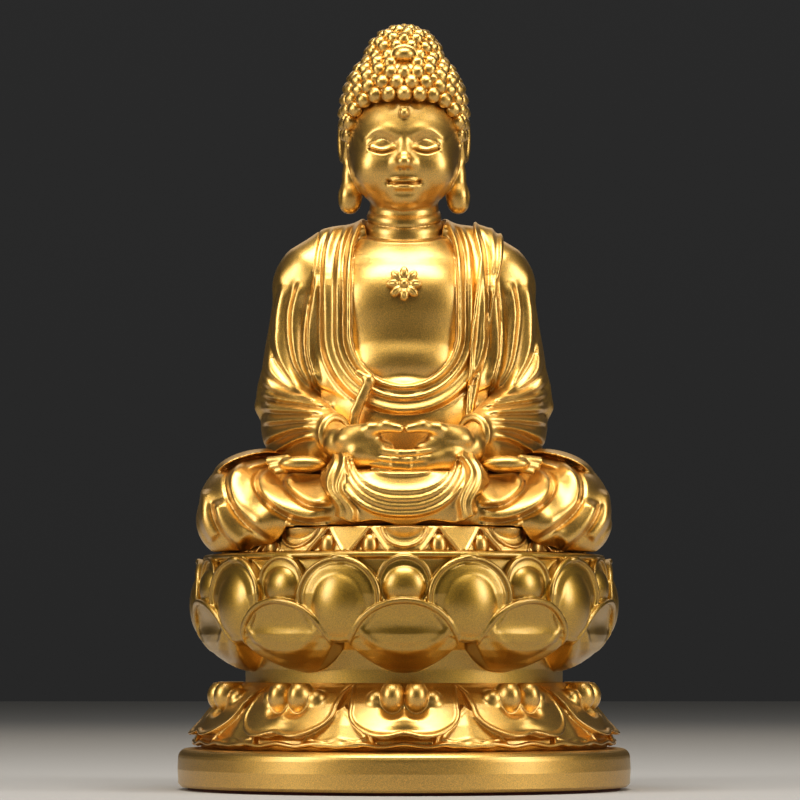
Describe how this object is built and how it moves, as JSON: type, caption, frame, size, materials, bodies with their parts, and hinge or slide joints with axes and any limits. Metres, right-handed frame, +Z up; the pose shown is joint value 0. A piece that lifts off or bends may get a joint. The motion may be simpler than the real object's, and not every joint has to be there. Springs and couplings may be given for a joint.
{
  "type": "seated buddha statue",
  "caption": "Gold-lacquered seated Buddha in meditation on a round double-lotus pedestal, with a hollow pedestal closed from below by a screwed cover.",
  "frame": {"origin": "centre of the felt ring's underside, on the surface the statue stands on", "axes": "+Z up, the figure faces -Y, its left hand is towards +X"},
  "size_m": [0.176, 0.176, 0.2999],
  "materials": {
    "gold_lacquer": "satin",
    "cover_resin": "matte",
    "base_felt": "matte",
    "steel_screws": "satin",
    "brass_inserts": "satin",
    "beech_dowels": "matte"
  },
  "bodies": {
    "root": {"felt_ring": "base_felt", "plinth": "gold_lacquer", "cover_inserts": "brass_inserts", "lower_lotus": "gold_lacquer", "waist_drum": "gold_lacquer", "upper_lotus": "gold_lacquer", "tie_rods": "steel_screws", "tie_nuts": "steel_screws", "tie_washers": "steel_screws", "seat_plate": "gold_lacquer", "seat_leaves": "gold_lacquer", "seat_bolts": "steel_screws", "seat_washers": "steel_screws", "leg_inserts": "brass_inserts", "legs": "gold_lacquer", "lap_cloth": "gold_lacquer", "torso_dowels": "beech_dowels", "torso": "gold_lacquer", "robe_sash": "gold_lacquer", "sash_tie": "gold_lacquer", "right_sleeve": "gold_lacquer", "left_sleeve": "gold_lacquer", "right_hand": "gold_lacquer", "left_hand": "gold_lacquer", "chest_emblem": "gold_lacquer", "neck_dowel": "beech_dowels", "head": "gold_lacquer", "hair_cap": "gold_lacquer", "hair_jewel": "gold_lacquer", "forehead_bead": "gold_lacquer"},
    "base_cover": {"cover_plate": "cover_resin", "cover_screws": "steel_screws"}
  },
  "joints": [
    {"name": "cover_slide", "type": "slide", "parent": "root", "child": "base_cover", "axis": [0, 0, -1], "range_m": [0, 0.05]}
  ]
}
